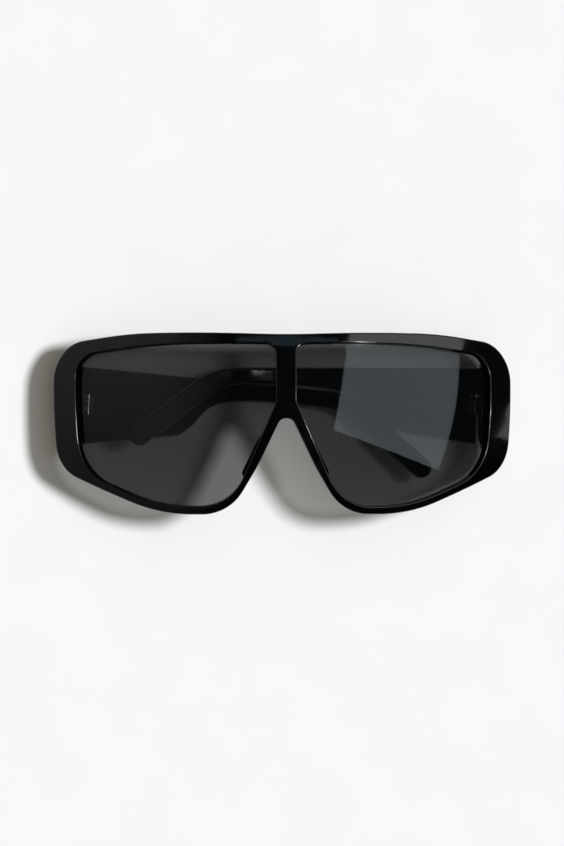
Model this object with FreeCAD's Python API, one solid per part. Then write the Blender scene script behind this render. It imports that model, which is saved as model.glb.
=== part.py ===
"""Shield sunglasses, folded, lying on their temples with the front facing up.

Millimetres. X runs along the brow, Y from the cheek side to the brow side, Z up and out of the front.
The origin is on the table, under the middle of the front. The left and right sides are as seen in that view.
"""
import FreeCAD, Part
import math
import os

from FreeCAD import Vector

# Front: a moulded shell that follows a sphere, with two openings and a narrow bar between them
FRONT_WIDTH = 150.0
FRONT_HEIGHT = 58.4
BASE_RADIUS = 140.0
RIM_DEPTH = 4.6
RIM_ROUND = 0.6
LIP_ROUND = 0.35

# Lens: one shell behind both openings, held in a rebate
LENS_RECESS = 2.4
LENS_THICKNESS = 2.0
LENS_LAP = 1.0
LENS_CLEARANCE = 0.06
NOTCH_WALL = 2.4

# End pieces: the returns behind the front that carry the hinges
END_PIECE_LENGTH = 11.5
END_PIECE_SPREAD = 6.0
END_PIECE_FLARE = 7.0
END_PIECE_ROUND = 1.6
END_PIECE_SKIN = 1.0
END_PIECE_INSET = 0.5
END_PIECE_LENS_GAP = 0.2

# Nose pads: moulded swellings behind the two sides of the notch
PAD_LENGTH = 15.0
PAD_WIDTH = 3.2
PAD_DEPTH = 2.6
PAD_SLANT_DEG = 26.0

# Hinges: five interleaved knuckles on a screw
HINGE_INSET = 11.2
HINGE_RISE = 6.0
HINGE_HEIGHT = 5.8
KNUCKLE_COUNT = 5
KNUCKLE_GAP = 0.06
BARREL_RADIUS = 1.5
BARREL_ROOM = 0.4
SCREW_RADIUS = 0.7
SCREW_CLEARANCE = 0.04
SCREW_HEAD_RADIUS = 1.25
SCREW_HEAD_HEIGHT = 0.7
SLOT_WIDTH = 0.4
SLOT_DEPTH = 0.35
LEAF_THICKNESS = 0.8
LEAF_LENGTH = 8.4
TEMPLE_LEAF_LENGTH = 3.4
LEAF_SINK = 0.15
LEAF_STANDOFF = 0.2
ANCHOR_RADIUS = 0.6
ANCHOR_LENGTH = 2.0

# Temples: a tall flat base, a slim arm and a dropped tip
TEMPLE_THICKNESS = 4.4
TIP_THICKNESS = 3.4
TEMPLE_STANDOFF = 0.5
TEMPLE_TOP = 12.6
TEMPLE_FOOT = 12.1
BASE_LENGTH = 29.4
BASE_END_FOOT = 7.2
STEP_LENGTH = 18.6
ARM_HEIGHT = 5.6
ARM_FLARE = 1.1
TIP_SETBACK = 11.83
BEND_RADIUS = 26.0
BEND_DEG = 36.5
TIP_RUN = 24.5
TIP_WIDTH = 6.8
EDGE_ROUND = 1.2
FLAT_LENGTH = 40.0
BOW_RADIUS = 210.0
BUTT_REACH = 2.0
BUTT_GAP = 0.1
OPEN_DEG = 93.0
ARM_GAP = 0.63
LAY_GAP = 1.8

OVERRUN = 5.0

# Half of the front's outline, from the middle of the brow to the top of the nose notch: the corners of
# a polygon and their rounding, in shares of half the width, half the height and half the height
FRONT_SHARES = [
    (0.0, 0.978, 6.85),
    (0.66, 0.998, 6.5),
    (0.997, 0.868, 0.4),
    (0.979, -0.503, 0.41),
    (0.535, -1.0, 2.0),
    (0.243, -0.997, 0.62),
    (0.121, -0.462, 2.7),
    (0.0253, 0.0565, 0.0925),
]
# The right opening in the same shares, clockwise from its corner by the bar and the brow
EYE_SHARES = [
    (0.044, 0.88, 0.12),
    (0.54, 0.88, 11.3),
    (0.899, 0.757, 0.274),
    (0.9, 0.205, 10.3),
    (0.875, -0.534, 0.55),
    (0.549, -0.9, 1.88),
    (0.24, -0.925, 0.58),
    (0.044, 0.24, 0.17),
]
# The most of a side that the rounding at one of its ends takes up
SIDE_SHARE = 0.48
# The step from the temple's base up to its arm, in shares of its length and rise
STEP_SHARES = [(0.19, 0.15), (0.34, 0.37), (0.49, 0.67), (0.68, 0.87)]
# The arm's narrowest stretch, in shares of the run from the step to the bend
WAIST_SHARES = (0.8, 0.4)
# The nose pads' place beside the notch, in shares of half the width and half the height
PAD_SHARES = (0.1307, 0.3596)
# The near and far ends of the cones that cut the front, in shares of its radius
CONE_SHARES = (0.55, 1.15)
# The anchors' places along the plate of each hinge leaf
FRONT_ANCHOR_SHARES = (0.3, 0.75)
TEMPLE_ANCHOR_SHARES = (0.5,)

AXIS_HEIGHT = TEMPLE_THICKNESS + BARREL_RADIUS + TEMPLE_STANDOFF
END_FACE_HEIGHT = AXIS_HEIGHT + BUTT_REACH + BUTT_GAP
EDGE_HEIGHT = END_FACE_HEIGHT + END_PIECE_LENGTH
CENTRE_HEIGHT = EDGE_HEIGHT - math.sqrt(BASE_RADIUS**2 - (FRONT_WIDTH / 2) ** 2)
CENTRE = Vector(0, 0, CENTRE_HEIGHT)
LENS_FRONT_RADIUS = BASE_RADIUS - LENS_RECESS
LENS_REAR_RADIUS = LENS_FRONT_RADIUS - LENS_THICKNESS
RIM_REAR_RADIUS = BASE_RADIUS - RIM_DEPTH
AXIS_X = FRONT_WIDTH / 2 - HINGE_INSET
LEAF_FACE = BARREL_RADIUS + LEAF_STANDOFF
KNUCKLE_ROOM = BARREL_RADIUS + BARREL_ROOM
KNUCKLE_PITCH = (HINGE_HEIGHT + KNUCKLE_GAP) / KNUCKLE_COUNT

# A folded temple's tip stops short of the other hinge
BEND_REACH = BEND_RADIUS * math.sin(math.radians(BEND_DEG))
TIP_REACH = (TIP_RUN + TIP_WIDTH / 2) * math.cos(math.radians(BEND_DEG))
BEND_START = 2 * AXIS_X - TIP_SETBACK - BEND_REACH - TIP_REACH
# The folded arms lie side by side where they cross. Each arm drops by half the angle between them, and the
# hinges' play turns both the same way by as much again: the left arm drops twice, the right one lies level.
DROP_DEG = math.degrees(math.asin((ARM_HEIGHT + ARM_GAP) / AXIS_X)) / 2


def bow_rise(distance):
    """How far the bow lifts the temple's outer face at a distance from the hinge."""
    turn = math.asin(max(0.0, distance - FLAT_LENGTH) / BOW_RADIUS)
    return BOW_RADIUS * (1 - math.cos(turn))


# The right temple is tucked further in, so that its bend clears the left temple's base
BASE_RISE = TEMPLE_THICKNESS + LAY_GAP + bow_rise(2 * AXIS_X - BEND_START)
RIGHT_TUCK_DEG = math.degrees(math.atan((BASE_RISE - bow_rise(BEND_START)) / BEND_START))

X_AXIS = Vector(1, 0, 0)
Y_AXIS = Vector(0, 1, 0)
Z_AXIS = Vector(0, 0, 1)
ORIGIN = Vector(0, 0, 0)


def ball(radius):
    """A ball about the centre of the front's curve, with its poles and seam away from the front."""
    shape = Part.makeSphere(radius, ORIGIN, Y_AXIS)
    shape.rotate(ORIGIN, Y_AXIS, 180)
    shape.translate(CENTRE)
    return shape


def box(x_span, y_span, z_span):
    """A block between two values on each axis."""
    corner = Vector(x_span[0], y_span[0], z_span[0])
    sizes = [span[1] - span[0] for span in (x_span, y_span, z_span)]
    return Part.makeBox(sizes[0], sizes[1], sizes[2], corner)


def cylinder_y(radius, y_span):
    """A cylinder about the hinge axis."""
    return Part.makeCylinder(radius, y_span[1] - y_span[0], Vector(0, y_span[0], 0), Y_AXIS)


def in_sizes(shares):
    """An outline in shares of half the front, as corners with their rounding, seen from the front."""
    half_width, half_height = FRONT_WIDTH / 2, FRONT_HEIGHT / 2
    return [(x * half_width, y * half_height, rounding * half_height) for x, y, rounding in shares]


def mirrored(points):
    """The same corners on the other side of the middle, in reverse order."""
    return [(-x, y, rounding) for x, y, rounding in reversed(points)]


def neighbours(points):
    """Each corner of a closed outline between the corners before and after it."""
    return zip(points[-1:] + points[:-1], points, points[1:] + points[:1])


def grown(points, distance):
    """A closed clockwise outline with each side moved out, and the rounding of its corners to match."""
    moved = []
    for before, corner, after in neighbours(points):
        first = Vector(corner[0] - before[0], corner[1] - before[1], 0).normalize()
        second = Vector(after[0] - corner[0], after[1] - corner[1], 0).normalize()
        out = Vector(-first.y - second.y, first.x + second.x, 0).normalize()
        shift = out * (distance / out.dot(Vector(-first.y, first.x, 0)))
        bulges = first.cross(second).z < 0
        rounding = corner[2] + distance if bulges else corner[2] - distance
        moved.append((corner[0] + shift.x, corner[1] + shift.y, rounding))
    return moved


def rounded_wire(points, level):
    """An outline seen from the centre of the front's curve, on a plane at a distance from that centre."""
    flat = []
    for x, y, rounding in points:
        spread = level / math.sqrt(BASE_RADIUS**2 - x * x - y * y)
        flat.append((Vector(x * spread, y * spread, CENTRE_HEIGHT + level), rounding * spread))
    arcs = []
    for (before, _), (corner, rounding), (after, _) in neighbours(flat):
        back, ahead = before - corner, after - corner
        longest = SIDE_SHARE * min(back.Length, ahead.Length)
        half = back.getAngle(ahead) / 2
        reach = min(rounding / math.tan(half), longest)
        inward = back.normalize() + ahead.normalize()
        middle = corner + inward.normalize() * (reach / math.cos(half) - reach * math.tan(half))
        arcs.append(Part.Arc(corner + back * reach, middle, corner + ahead * reach).toShape())
    return closed_wire(arcs)


def closed_wire(arcs):
    """Arcs in their order, joined by straight lines."""
    edges = []
    for arc, following in zip(arcs, arcs[1:] + arcs[:1]):
        edges += [arc, Part.makeLine(arc.Vertexes[-1].Point, following.Vertexes[0].Point)]
    return Part.Wire(edges)


def cone(points):
    """The solid seen through an outline on the front face from the centre of its curve."""
    return Part.makeLoft([rounded_wire(points, BASE_RADIUS * share) for share in CONE_SHARES], True, True)


def eye_outlines():
    """The right and left openings, clockwise from above."""
    right = in_sizes(EYE_SHARES)
    return right, mirrored(right)


def lens_outline(clearance):
    """The lens edge: both openings with their lap, joined behind the bar."""
    inner_brow, *outer, cheek, inner_cheek = in_sizes(EYE_SHARES)
    brow, *_, notch = in_sizes(FRONT_SHARES)
    top = (0.0, inner_brow[1], brow[2])
    notch_y = notch[1] + NOTCH_WALL + LENS_LAP
    share = (notch_y - cheek[1]) / (inner_cheek[1] - cheek[1])
    notch_x = cheek[0] + (inner_cheek[0] - cheek[0]) * share
    half = outer + [cheek, (notch_x, notch_y, notch[2])]
    return grown([top] + half + mirrored(half), LENS_LAP + clearance)


def front_outline():
    """The whole outline of the front, clockwise from above."""
    half = in_sizes(FRONT_SHARES)
    return half + mirrored(half[1:])


def front_face(shape):
    """The face of a shape that lies on the front's own curve."""
    round_faces = [face for face in shape.Faces if isinstance(face.Surface, Part.Sphere)]
    return max(round_faces, key=lambda face: face.Surface.Radius)


def rim():
    """The shell of the front with its openings, rounded edges and lens rebate."""
    shell = ball(BASE_RADIUS).cut(ball(RIM_REAR_RADIUS)).common(cone(front_outline()))
    shell = shell.makeFillet(RIM_ROUND, front_face(shell).OuterWire.Edges)
    for opening in eye_outlines():
        shell = shell.cut(cone(opening))
    face = front_face(shell)
    openings = [wire for wire in face.Wires if not wire.isSame(face.OuterWire)]
    shell = shell.makeFillet(LIP_ROUND, [edge for wire in openings for edge in wire.Edges])
    rebate = cone(lens_outline(LENS_CLEARANCE)).common(ball(LENS_FRONT_RADIUS + LENS_CLEARANCE))
    return shell.cut(rebate)


def shield_lens():
    """The lens: a shell of even thickness behind both openings."""
    shell = ball(LENS_FRONT_RADIUS).cut(ball(LENS_REAR_RADIUS))
    return shell.common(cone(lens_outline(0.0)))


def rounded_block(x_span, y_span, radius, height):
    """A flat outline with four rounded corners, at one height."""
    (x0, x1), (y0, y1) = x_span, y_span
    corners = [
        (Vector(x1 - radius, y1 - radius, height), 0),
        (Vector(x0 + radius, y1 - radius, height), 90),
        (Vector(x0 + radius, y0 + radius, height), 180),
        (Vector(x1 - radius, y0 + radius, height), 270),
    ]
    arcs = [Part.makeCircle(radius, middle, Z_AXIS, start, start + 90) for middle, start in corners]
    return closed_wire(arcs)


def end_piece(side):
    """The return behind one end of the front, from the temple's butt up into the shell."""
    inner = AXIS_X + LEAF_FACE - LEAF_SINK
    outer = AXIS_X + BARREL_RADIUS + TEMPLE_STANDOFF + TEMPLE_THICKNESS
    y_span = (HINGE_RISE - TEMPLE_FOOT, HINGE_RISE + TEMPLE_TOP)
    wide = (y_span[0] - END_PIECE_FLARE, y_span[1] + END_PIECE_FLARE)
    foot_span = sorted((side * inner, side * outer))
    head_span = sorted((side * inner, side * (outer + END_PIECE_SPREAD)))
    foot = rounded_block(foot_span, y_span, END_PIECE_ROUND, END_FACE_HEIGHT)
    head = rounded_block(head_span, wide, END_PIECE_ROUND, EDGE_HEIGHT + RIM_DEPTH)
    block = Part.makeLoft([foot, head], True, True).common(ball(BASE_RADIUS - END_PIECE_SKIN))
    block = block.common(cone(grown(front_outline(), -END_PIECE_INSET)))
    room = cone(lens_outline(END_PIECE_LENS_GAP)).cut(ball(LENS_REAR_RADIUS - END_PIECE_LENS_GAP))
    return block.cut(room)


def nose_pad(side):
    """One nose pad: a bar with round ends along the side of the notch, behind the rim."""
    radius = PAD_WIDTH / 2
    turn = math.sqrt(0.5)
    shoulder = PAD_LENGTH / 2 - radius
    rise = [Vector(0, -shoulder - radius, 0), Vector(radius * turn, -shoulder - radius * turn, 0)]
    rise.append(Vector(radius, -shoulder, 0))
    fall = [Vector(point.x, -point.y, 0) for point in reversed(rise)]
    foot, head = Part.Arc(*rise).toShape(), Part.Arc(*fall).toShape()
    edges = [foot, Part.makeLine(rise[2], fall[0]), head, Part.makeLine(fall[2], rise[0])]
    pad = Part.Face(Part.Wire(edges)).revolve(ORIGIN, Y_AXIS, 360)
    pad.rotate(ORIGIN, Z_AXIS, side * PAD_SLANT_DEG)
    spread, drop = PAD_SHARES[0] * FRONT_WIDTH / 2, PAD_SHARES[1] * FRONT_HEIGHT / 2
    depth = math.sqrt(RIM_REAR_RADIUS**2 - spread**2 - drop**2) - PAD_DEPTH + radius
    pad.translate(Vector(side * spread, -drop, CENTRE_HEIGHT + depth))
    return pad.common(ball(LENS_REAR_RADIUS - LENS_CLEARANCE))


def knuckle_spans(first):
    """The spans along the hinge axis of every other knuckle, from the first one given."""
    spans = []
    for count in range(first, KNUCKLE_COUNT, 2):
        start = count * KNUCKLE_PITCH - HINGE_HEIGHT / 2
        spans.append((start, start + KNUCKLE_PITCH - KNUCKLE_GAP))
    return spans


def leaf(face, first, length, anchor_shares):
    """A hinge leaf about its axis: plate upright at +X, knuckles at the foot and anchors behind."""
    height = (-HINGE_HEIGHT / 2, HINGE_HEIGHT / 2)
    near = face - LEAF_THICKNESS
    pieces = [box((near, face), height, (KNUCKLE_ROOM, length))]
    web = [
        Vector(0, 0, 0),
        Vector(face, 0, BARREL_ROOM),
        Vector(face, 0, KNUCKLE_ROOM + LEAF_THICKNESS),
        Vector(near, 0, KNUCKLE_ROOM + LEAF_THICKNESS),
        Vector(0, 0, BARREL_RADIUS),
    ]
    for span in knuckle_spans(first):
        pieces.append(cylinder_y(BARREL_RADIUS, span))
        profile = Part.Face(Part.makePolygon(web + web[:1]))
        profile.translate(Vector(0, span[0], 0))
        pieces.append(profile.extrude(Vector(0, span[1] - span[0], 0)))
    for share in anchor_shares:
        foot = Vector(near, 0, KNUCKLE_ROOM + (length - KNUCKLE_ROOM) * share)
        pieces.append(Part.makeCylinder(ANCHOR_RADIUS, LEAF_THICKNESS + ANCHOR_LENGTH, foot, X_AXIS))
    solid = pieces[0].multiFuse(pieces[1:]).removeSplitter()
    return solid.cut(cylinder_y(SCREW_RADIUS + SCREW_CLEARANCE, (-HINGE_HEIGHT, HINGE_HEIGHT)))


def front_leaf():
    """The leaf on the end piece, with the odd knuckles."""
    return leaf(LEAF_FACE, 0, LEAF_LENGTH, FRONT_ANCHOR_SHARES)


def temple_leaf():
    """The short leaf on the temple's inner face, with the even knuckles."""
    face = BARREL_RADIUS + TEMPLE_STANDOFF + LEAF_SINK
    solid = leaf(face, 1, TEMPLE_LEAF_LENGTH, TEMPLE_ANCHOR_SHARES)
    solid.rotate(ORIGIN, Z_AXIS, 180)
    solid.rotate(ORIGIN, Y_AXIS, -90)
    return solid


def hinge_screw():
    """The slotted screw that the knuckles turn on, with its head on the brow side."""
    top = HINGE_HEIGHT / 2
    shank = cylinder_y(SCREW_RADIUS, (-top, top))
    head = cylinder_y(SCREW_HEAD_RADIUS, (top, top + SCREW_HEAD_HEIGHT))
    reach = (-SCREW_HEAD_RADIUS, SCREW_HEAD_RADIUS)
    floor = top + SCREW_HEAD_HEIGHT - SLOT_DEPTH
    slot = box(reach, (floor, floor + OVERRUN), (-SLOT_WIDTH / 2, SLOT_WIDTH / 2))
    return shank.fuse(head).removeSplitter().cut(slot)


def temple_outline():
    """The temple's side view, flat, with the hinge at the origin and the tip at -X."""
    bend = math.radians(BEND_DEG)
    centre = Vector(BEND_START, TEMPLE_TOP - BEND_RADIUS, 0)
    start = Vector(BEND_START, TEMPLE_TOP, 0)
    half_bend = Vector(math.sin(bend / 2), math.cos(bend / 2), 0)
    full_bend = Vector(math.sin(bend), math.cos(bend), 0)
    along = Vector(math.cos(bend), -math.sin(bend), 0)
    bent = centre + full_bend * BEND_RADIUS
    tip_top = bent + along * TIP_RUN
    tip_foot = tip_top - full_bend * TIP_WIDTH
    tip_end = (tip_top + tip_foot) * 0.5 + along * (TIP_WIDTH / 2)
    waist = TEMPLE_TOP - ARM_HEIGHT
    step_end = Vector(BASE_LENGTH + STEP_LENGTH, waist - ARM_FLARE, 0)
    base_end = Vector(BASE_LENGTH, -BASE_END_FOOT, 0)
    butt_foot = Vector(-BUTT_REACH - OVERRUN, -TEMPLE_FOOT - BUTT_REACH, 0)
    butt_top = Vector(-BUTT_REACH - OVERRUN, TEMPLE_TOP, 0)
    rise = step_end - base_end
    steps = [base_end + Vector(rise.x * x, rise.y * y, 0) for x, y in reversed(STEP_SHARES)]
    mean_width = (ARM_HEIGHT + TIP_WIDTH) / 2
    lower = [
        tip_foot,
        bent - full_bend * TIP_WIDTH,
        centre + half_bend * (BEND_RADIUS - mean_width),
        *[Vector(step_end.x + (BEND_START - step_end.x) * share, waist, 0) for share in WAIST_SHARES],
        step_end,
        *steps,
        base_end,
    ]
    under = Part.BSplineCurve()
    under.interpolate(Points=lower, InitialTangent=-along, FinalTangent=(butt_foot - base_end).normalize())
    edges = [
        Part.makeLine(butt_top, start),
        Part.Arc(start, centre + half_bend * BEND_RADIUS, bent).toShape(),
        Part.makeLine(bent, tip_top),
        Part.Arc(tip_top, tip_end, tip_foot).toShape(),
        under.toShape(),
        Part.makeLine(base_end, butt_foot),
        Part.makeLine(butt_foot, butt_top),
    ]
    face = Part.Face(Part.Wire(edges))
    return face.mirror(ORIGIN, X_AXIS)


def temple_edge_view():
    """The temple seen along the hinge axis: flat at the base, bowed in and thinner towards the tip."""
    inner = -BARREL_RADIUS - TEMPLE_STANDOFF
    outer = inner - TEMPLE_THICKNESS
    lean = math.radians(OPEN_DEG - 90)
    butt = [(BUTT_REACH + z * math.sin(lean)) / math.cos(lean) for z in (outer, inner)]
    length = BEND_START + BEND_RADIUS + TIP_RUN + TIP_WIDTH
    half_turn = (length - FLAT_LENGTH) / BOW_RADIUS / 2
    taper = TEMPLE_THICKNESS - TIP_THICKNESS

    def bowed(turn, radius, base):
        return Vector(-FLAT_LENGTH - radius * math.sin(turn), 0, base + radius * (1 - math.cos(turn)))

    outer_arc = [bowed(half_turn * n, BOW_RADIUS, outer) for n in range(3)]
    inner_radius = BOW_RADIUS - TEMPLE_THICKNESS
    inner_arc = []
    for n in range(3):
        thinned = Vector(0, 0, taper * n * n / 4)
        inner_arc.append(bowed(half_turn * n, inner_radius, inner) - thinned)
    edges = [
        Part.makeLine(Vector(butt[0], 0, outer), outer_arc[0]),
        Part.Arc(*outer_arc).toShape(),
        Part.makeLine(outer_arc[2], inner_arc[2]),
        Part.Arc(*reversed(inner_arc)).toShape(),
        Part.makeLine(inner_arc[0], Vector(butt[1], 0, inner)),
        Part.makeLine(Vector(butt[1], 0, inner), Vector(butt[0], 0, outer)),
    ]
    return Part.Face(Part.Wire(edges))


def temple():
    """The right temple about its hinge axis, folded, before its hinge leaf is seated."""
    plan = temple_outline()
    plan.rotate(ORIGIN, Z_AXIS, DROP_DEG)
    depth = AXIS_HEIGHT + OVERRUN
    plan.translate(Vector(0, 0, -depth))
    reach = TEMPLE_TOP + TEMPLE_FOOT + TIP_RUN
    side = temple_edge_view()
    side.translate(Vector(0, -reach, 0))
    solid = plan.extrude(Vector(0, 0, depth + BEND_START)).common(side.extrude(Vector(0, 2 * reach, 0)))
    long_edges = []
    for edge in solid.Edges:
        middle = (edge.FirstParameter + edge.LastParameter) / 2
        along = edge.tangentAt(middle)
        across = abs(along.y) > math.cos(math.radians(1)) and len(edge.Vertexes) == 2
        upright = abs(along.z) > math.sin(math.radians(60))
        if not across and not upright:
            long_edges.append(edge)
    return solid.makeFillet(EDGE_ROUND, long_edges)


def placed(shape, side, tuck_deg):
    """A right-hand shape about the hinge axis, put at its place on one side."""
    moved = shape.copy()
    moved.rotate(ORIGIN, Y_AXIS, tuck_deg)
    if side == "left":
        moved = moved.mirror(ORIGIN, X_AXIS)
    moved.rotate(ORIGIN, Z_AXIS, -DROP_DEG)
    moved.translate(Vector(AXIS_X if side == "right" else -AXIS_X, HINGE_RISE, AXIS_HEIGHT))
    return moved


def main():
    os.makedirs("parts", exist_ok=True)
    front = rim()
    for side in (-1, 1):
        front = front.fuse(end_piece(side)).fuse(nose_pad(side))
    nodes = {"shield_lens": shield_lens()}
    bare_temple = temple()
    for side, tuck in (("left", 0.0), ("right", RIGHT_TUCK_DEG)):
        nodes[f"front_hinge_leaf_{side}"] = placed(front_leaf(), side, 0.0)
        nodes[f"hinge_screw_{side}"] = placed(hinge_screw(), side, 0.0)
        nodes[f"temple_hinge_leaf_{side}"] = placed(temple_leaf(), side, tuck)
        seated = placed(bare_temple, side, tuck)
        nodes[f"temple_{side}"] = seated.cut(nodes[f"temple_hinge_leaf_{side}"])
        front = front.cut(nodes[f"front_hinge_leaf_{side}"])
    nodes["front_frame"] = front
    for name, shape in nodes.items():
        shape.exportStep(f"parts/{name}.step")
        size = shape.BoundBox
        print(name, len(shape.Solids), shape.isValid(), round(shape.Volume, 2), size)


main()
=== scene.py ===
import math

import bmesh
import bpy
from mathutils import Matrix, Vector

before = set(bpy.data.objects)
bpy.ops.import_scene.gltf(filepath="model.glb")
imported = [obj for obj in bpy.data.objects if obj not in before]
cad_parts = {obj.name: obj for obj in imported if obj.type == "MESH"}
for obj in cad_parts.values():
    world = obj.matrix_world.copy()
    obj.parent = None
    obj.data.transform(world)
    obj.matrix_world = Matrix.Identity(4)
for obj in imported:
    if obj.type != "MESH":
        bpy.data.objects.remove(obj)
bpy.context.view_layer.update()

scene = bpy.context.scene


# The front: one moulding of black plastic with a rim round two openings, a bar between them, end pieces
# and nose pads. It comes out of a polished mould, so its skin is glossy, with faint flow marks.
front_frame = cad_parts["front_frame"]
plastic_shades = ((0.0004, 0.0004, 0.0005), (0.0012, 0.0012, 0.0013))
plastic_roughness = (0.05, 0.09)
plastic_ior = 1.5
flow_mark_scale, polish_scale = 90.0, 240.0
moulding_crease_deg = 60.0


def shade_smooth(node, crease_deg):
    """Joins a node's loose facets for shading, with edges sharper than the crease kept crisp."""
    facet_gap, large_face_weight = 0.000002, 100
    node.data.polygons.foreach_set("use_smooth", [True] * len(node.data.polygons))
    join = node.modifiers.new("joined facets", "WELD")
    join.merge_threshold = facet_gap
    crease = node.modifiers.new("crisp edges", "EDGE_SPLIT")
    crease.use_edge_sharp = False
    crease.split_angle = math.radians(crease_deg)
    even = node.modifiers.new("even shading", "WEIGHTED_NORMAL")
    even.weight = large_face_weight


def material_on_object(name):
    """A new material, its shader, and the object's own coordinates in metres."""
    material = bpy.data.materials.new(name)
    material.use_nodes = True
    shader = material.node_tree.nodes["Principled BSDF"]
    place = material.node_tree.nodes.new("ShaderNodeTexCoord")
    return material, shader, place.outputs["Object"]


def spread_noise(material, place, scale, shades, target):
    """Soft noise over the object between two shades, led to a shader's input."""
    noise_detail, ramp_ends = 3.0, (0.35, 0.65)
    tree = material.node_tree
    noise = tree.nodes.new("ShaderNodeTexNoise")
    noise.inputs["Scale"].default_value = scale
    noise.inputs["Detail"].default_value = noise_detail
    tree.links.new(place, noise.inputs["Vector"])
    ramp = tree.nodes.new("ShaderNodeValToRGB")
    for element, position, shade in zip(ramp.color_ramp.elements, ramp_ends, shades):
        element.position = position
        element.color = (*shade, 1.0)
    tree.links.new(noise.outputs["Fac"], ramp.inputs["Fac"])
    tree.links.new(ramp.outputs["Color"], target)


def spread_finish(material, shader, place, shades, shade_scale, roughness, roughness_scale):
    """A material's shades and its roughness, each as a noise of its own over the object."""
    greys = [(level, level, level) for level in roughness]
    spread_noise(material, place, shade_scale, shades, shader.inputs["Base Color"])
    spread_noise(material, place, roughness_scale, greys, shader.inputs["Roughness"])


def put_on(thing, material):
    """Makes a material an object's only one."""
    thing.data.materials.clear()
    thing.data.materials.append(material)


black_plastic, shader, place = material_on_object("black_moulded_plastic")
spread_finish(
    black_plastic, shader, place, plastic_shades, flow_mark_scale, plastic_roughness, polish_scale
)
shader.inputs["IOR"].default_value = plastic_ior
put_on(front_frame, black_plastic)
shade_smooth(front_frame, moulding_crease_deg)


# The hinge leaves on the end pieces: stamped steel plates with rolled knuckles, darkened a little and
# brushed along their length. Two short pins anchor each of them in the plastic.
leaf_shades = ((0.2, 0.198, 0.195), (0.3, 0.297, 0.29))
leaf_roughness = (0.15, 0.22)
stain_scale, brush_scale = 260.0, 420.0
brush_stretch = (1.0, 14.0, 1.0)
leaf_crease_deg = 40.0
hinge_steel, shader, place = material_on_object("brushed_hinge_steel")
grain = hinge_steel.node_tree.nodes.new("ShaderNodeMapping")
grain.inputs["Scale"].default_value = brush_stretch
hinge_steel.node_tree.links.new(place, grain.inputs["Vector"])
place = grain.outputs["Vector"]
spread_finish(hinge_steel, shader, place, leaf_shades, stain_scale, leaf_roughness, brush_scale)
shader.inputs["Metallic"].default_value = 1.0
for name in ("front_hinge_leaf_left", "front_hinge_leaf_right"):
    put_on(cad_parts[name], hinge_steel)
    shade_smooth(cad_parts[name], leaf_crease_deg)


# The lens: one dark polycarbonate shield, moulded to the front's curve and seated in its rebate from behind.
# It lets about a sixth of the light through, two faces together, and its shine is slightly cool.
shield_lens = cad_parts["shield_lens"]
lens_shades = ((0.0008, 0.0012, 0.0016), (0.0014, 0.002, 0.0026))
lens_roughness = (0.012, 0.025)
tint_scale, lens_polish_scale = 25.0, 60.0
lens_ior = 1.58
lens_face_alpha = 0.605
lens_shine = (0.88, 0.97, 1.0, 1.0)
lens_crease_deg = 28.0
tinted_plastic, shader, place = material_on_object("tinted_lens_plastic")
spread_finish(tinted_plastic, shader, place, lens_shades, tint_scale, lens_roughness, lens_polish_scale)
shader.inputs["IOR"].default_value = lens_ior
shader.inputs["Alpha"].default_value = lens_face_alpha
shader.inputs["Specular Tint"].default_value = lens_shine
put_on(shield_lens, tinted_plastic)
shade_smooth(shield_lens, lens_crease_deg)


# The hinge screws: turned steel with a slotted head on the brow side, bright from the lathe.
# They hold the knuckles of both leaves together.
screw_shades = ((0.3, 0.295, 0.285), (0.45, 0.44, 0.42))
screw_roughness = (0.18, 0.3)
turning_scale, tool_mark_scale = 1800.0, 2400.0
screw_crease_deg = 30.0
screw_steel, shader, place = material_on_object("turned_screw_steel")
spread_finish(screw_steel, shader, place, screw_shades, turning_scale, screw_roughness, tool_mark_scale)
shader.inputs["Metallic"].default_value = 1.0
for name in ("hinge_screw_left", "hinge_screw_right"):
    put_on(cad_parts[name], screw_steel)
    shade_smooth(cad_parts[name], screw_crease_deg)


# The temples: moulded from the same black plastic, each with a tall flat base, a slim arm and a dropped tip.
# Their edges are tumbled round, and their leaves are sunk into the inner faces.
for name in ("temple_left", "temple_right"):
    put_on(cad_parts[name], black_plastic)
    shade_smooth(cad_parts[name], moulding_crease_deg)


# The hinge leaves on the temples: the same brushed steel, with the knuckles that go between the front's.
# Their short plates are let into the temples' inner faces, on one pin each.
for name in ("temple_hinge_leaf_left", "temple_hinge_leaf_right"):
    put_on(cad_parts[name], hinge_steel)
    shade_smooth(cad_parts[name], leaf_crease_deg)


# The table: a plain sheet of matt white paper that runs out of sight.
# It is the first thing on the stage, and the folded temples lie on it.
table_half = 3.0
paper_shades = ((0.845, 0.845, 0.845), (0.86, 0.86, 0.86))
paper_scale = 40.0
table_mesh = bpy.data.meshes.new("table")
shape = bmesh.new()
bmesh.ops.create_grid(shape, x_segments=1, y_segments=1, size=table_half)
shape.to_mesh(table_mesh)
shape.free()
table = bpy.data.objects.new("table", table_mesh)
scene.collection.objects.link(table)
white_paper, shader, place = material_on_object("white_paper")
spread_noise(white_paper, place, paper_scale, paper_shades, shader.inputs["Base Color"])
shader.inputs["Roughness"].default_value = 1.0
shader.inputs["Specular IOR Level"].default_value = 0.0
put_on(table, white_paper)


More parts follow.
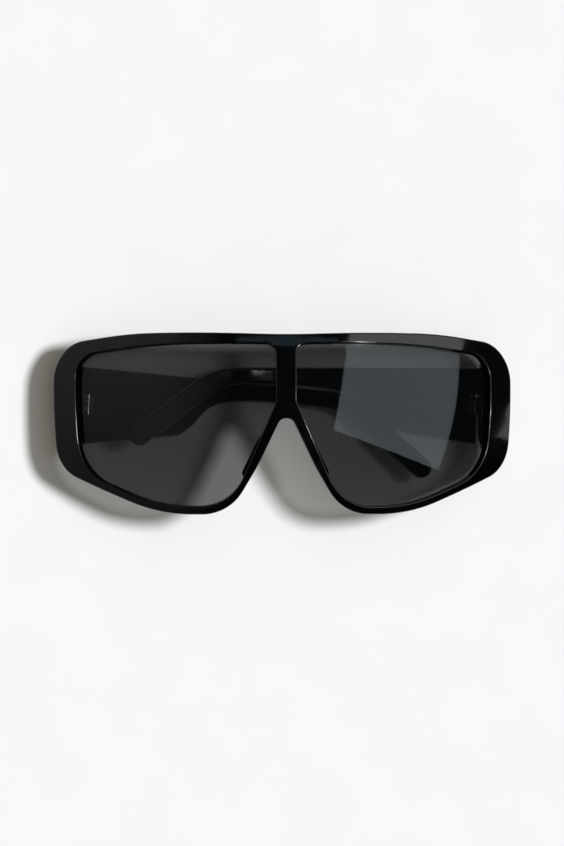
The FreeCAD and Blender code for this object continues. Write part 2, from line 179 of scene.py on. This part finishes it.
# The key light: a round soft lamp, faintly cool, on the right and less than a metre away, so that shadows
# lean farther on the left. It lights matt surfaces alone, and grows with distance to keep the table white.
key_place = Vector((0.319, 0.075, 0.800))
key_radius = 0.066
key_strength = 41.5
key_colour = (0.993, 1.0, 1.031)
key_lamp = bpy.data.lights.new("key_light", "POINT")
key_lamp.energy = key_strength
key_lamp.color = key_colour
key_lamp.shadow_soft_size = key_radius
key_lamp.use_nodes = True
tree = key_lamp.node_tree
ray = tree.nodes.new("ShaderNodeLightPath")
reach = tree.nodes.new("ShaderNodeLightFalloff")
tree.links.new(ray.outputs["Ray Length"], reach.inputs["Strength"])
tree.links.new(reach.outputs["Constant"], tree.nodes["Emission"].inputs["Strength"])
key_light = bpy.data.objects.new("key_light", key_lamp)
key_light.location = key_place
key_light.visible_camera = False
key_light.visible_glossy = False
scene.collection.objects.link(key_light)


# The glints: a small lamp from the same side, for the shine on the plastic and the steel alone. The lens
# takes no glint from it, because the picture shows none there.
to_glints = Vector((0.465, 0.085, 1.0))
glint_strength, glint_size_deg = 5.5, 5.0
glint_receivers = bpy.data.collections.new("glint_receivers")
for name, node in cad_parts.items():
    if name != "shield_lens":
        glint_receivers.objects.link(node)
glint_lamp = bpy.data.lights.new("glints", "SUN")
glint_lamp.energy = glint_strength
glint_lamp.angle = math.radians(glint_size_deg)
glints = bpy.data.objects.new("glints", glint_lamp)
glints.rotation_mode = "QUATERNION"
glints.rotation_quaternion = to_glints.to_track_quat("Z", "Y")
glints.visible_diffuse = False
glints.light_linking.receiver_collection = glint_receivers
scene.collection.objects.link(glints)


# The windows: three sheets of light seen only as reflections. A large dim one high on the right, a narrow
# bluish one above the brow and a small one low on the far right.
window_strengths = {"window_panel": 1.6, "brow_window": 0.5, "side_window": 1.3}
window_colours = {
    "window_panel": (0.95, 1.0, 1.03),
    "brow_window": (0.55, 0.8, 1.0),
    "side_window": (0.97, 1.0, 1.0),
}
window_corners = {
    "window_panel": ((0.366, -0.041, 1.2), (1.432, -0.405, 1.2), (2.09, 1.0, 1.2), (0.595, 1.0, 1.2)),
    "brow_window": ((-0.25, 0.5, 1.2), (0.42, 0.5, 1.2), (0.42, 0.57, 1.2), (-0.25, 0.57, 1.2)),
    "side_window": ((1.5, -0.09, 0.36), (1.5, 0.12, 0.36), (1.5, 0.12, 0.5), (1.5, -0.09, 0.62)),
}
for name, corners in window_corners.items():
    window_mesh = bpy.data.meshes.new(name)
    shape = bmesh.new()
    shape.faces.new([shape.verts.new(corner) for corner in corners])
    shape.to_mesh(window_mesh)
    shape.free()
    window = bpy.data.objects.new(name, window_mesh)
    scene.collection.objects.link(window)
    window.visible_camera = False
    window.visible_diffuse = False
    window.visible_transmission = False
    window.visible_shadow = False
    window_light = bpy.data.materials.new(name + "_light")
    window_light.use_nodes = True
    glow = window_light.node_tree.nodes["Principled BSDF"]
    glow.inputs["Base Color"].default_value = (0.0, 0.0, 0.0, 1.0)
    glow.inputs["Specular IOR Level"].default_value = 0.0
    glow.inputs["Emission Color"].default_value = (*window_colours[name], 1.0)
    glow.inputs["Emission Strength"].default_value = window_strengths[name]
    put_on(window, window_light)


# The room: a soft fill for the matt surfaces, from overhead but for the left, and from the brow's and the
# cheeks' sides, warm on the left. The glossy surfaces see a dark ceiling and a grey wall on the left, and
# the camera a pale backdrop past the table.
overhead, horizon, brow, cheek = 1.2, 0.0, 0.12, 0.26
fill_on_left, fill_on_right = (1.0, 0.9, 0.64), (1.0, 1.0, 1.0)
ceiling, wall, pale = 0.02, 0.28, 0.93
wall_at_cheeks, wall_at_brow = 0.5, 1.3
wall_span, wall_fade_span = (-0.6, -0.2), (-0.5, 0.5)
overhead_span, left_span, warm_span = (0.7, 1.0), (-0.4, 0.15), (-0.3, 0.3)
brow_span, cheek_span = (0.3, 0.8), (-0.85, -0.3)
world = bpy.data.worlds.new("room")
scene.world = world
world.use_nodes = True
world.cycles.sampling_method = "NONE"
tree = world.node_tree
backdrop = tree.nodes["Background"]
toward = tree.nodes.new("ShaderNodeTexCoord")
split = tree.nodes.new("ShaderNodeSeparateXYZ")
tree.links.new(toward.outputs["Generated"], split.inputs["Vector"])


def room_ramp(axis, span, low, high):
    """A smooth change of light along an axis of the room, over a span of directions."""
    ramp = tree.nodes.new("ShaderNodeMapRange")
    ramp.interpolation_type = "SMOOTHSTEP"
    ramp.inputs["From Min"].default_value = span[0]
    ramp.inputs["From Max"].default_value = span[1]
    ramp.inputs["To Min"].default_value = low
    ramp.inputs["To Max"].default_value = high
    tree.links.new(split.outputs[axis], ramp.inputs["Value"])
    return ramp.outputs["Result"]


def room_sum(operation, first, second):
    """Two lights of the room, added together or one dimmed by the other."""
    both = tree.nodes.new("ShaderNodeMath")
    both.operation = operation
    tree.links.new(first, both.inputs[0])
    tree.links.new(second, both.inputs[1])
    return both.outputs["Value"]


left_wall = room_ramp("X", wall_span, wall, ceiling)
wall_fade = room_ramp("Y", wall_fade_span, wall_at_cheeks, wall_at_brow)
reflected = room_sum("MULTIPLY", left_wall, wall_fade)
above = room_ramp("Z", overhead_span, horizon, overhead)
but_left = room_ramp("X", left_span, 0.0, 1.0)
brow_fill = room_ramp("Y", brow_span, 0.0, brow)
cheek_fill = room_ramp("Y", cheek_span, cheek, 0.0)
fill = room_sum("ADD", room_sum("MULTIPLY", above, but_left), room_sum("ADD", brow_fill, cheek_fill))
fill_shade = tree.nodes.new("ShaderNodeValToRGB")
for element, colour in zip(fill_shade.color_ramp.elements, (fill_on_left, fill_on_right)):
    element.color = (*colour, 1.0)
tree.links.new(room_ramp("X", warm_span, 0.0, 1.0), fill_shade.inputs["Fac"])
fill_light = tree.nodes.new("ShaderNodeBackground")
tree.links.new(fill_shade.outputs["Color"], fill_light.inputs["Color"])
tree.links.new(fill, fill_light.inputs["Strength"])
reflections = tree.nodes.new("ShaderNodeBackground")
reflections.inputs["Color"].default_value = (1.0, 1.0, 1.0, 1.0)
tree.links.new(reflected, reflections.inputs["Strength"])
backdrop.inputs["Color"].default_value = (pale, pale, pale, 1.0)
backdrop.inputs["Strength"].default_value = 1.0
ray = tree.nodes.new("ShaderNodeLightPath")


def room_choice(rays, others, chosen):
    """What the room shows to one kind of rays, in place of what it shows to the others."""
    choice = tree.nodes.new("ShaderNodeMixShader")
    tree.links.new(ray.outputs[rays], choice.inputs["Fac"])
    tree.links.new(others, choice.inputs[1])
    tree.links.new(chosen, choice.inputs[2])
    return choice.outputs["Shader"]


shown = room_choice("Is Glossy Ray", fill_light.outputs["Background"], reflections.outputs["Background"])
seen = room_choice("Is Camera Ray", shown, backdrop.outputs["Background"])
tree.links.new(seen, tree.nodes["World Output"].inputs["Surface"])


# The camera: above the table and a little to the left, looking almost straight down, as the picture was
# taken. A long lens keeps the rim and the temples beneath it nearly to one scale.
camera_place = Vector((-0.0474, 0.0002, 0.930))
camera_aim = Vector((0.0007, 0.0002, 0.0))
lens_mm, sensor_mm = 118.8, 36.0
picture_up = Vector((0.0, 1.0, 0.0))
camera = bpy.data.objects.new("camera", bpy.data.cameras.new("camera"))
camera.data.sensor_width = sensor_mm
camera.data.lens = lens_mm
camera.location = camera_place
camera.rotation_mode = "QUATERNION"
back = (camera_place - camera_aim).normalized()
right = picture_up.cross(back).normalized()
camera.rotation_quaternion = Matrix((right, back.cross(right), back)).transposed().to_quaternion()
scene.collection.objects.link(camera)
scene.camera = camera
scene.view_settings.view_transform = "Standard"
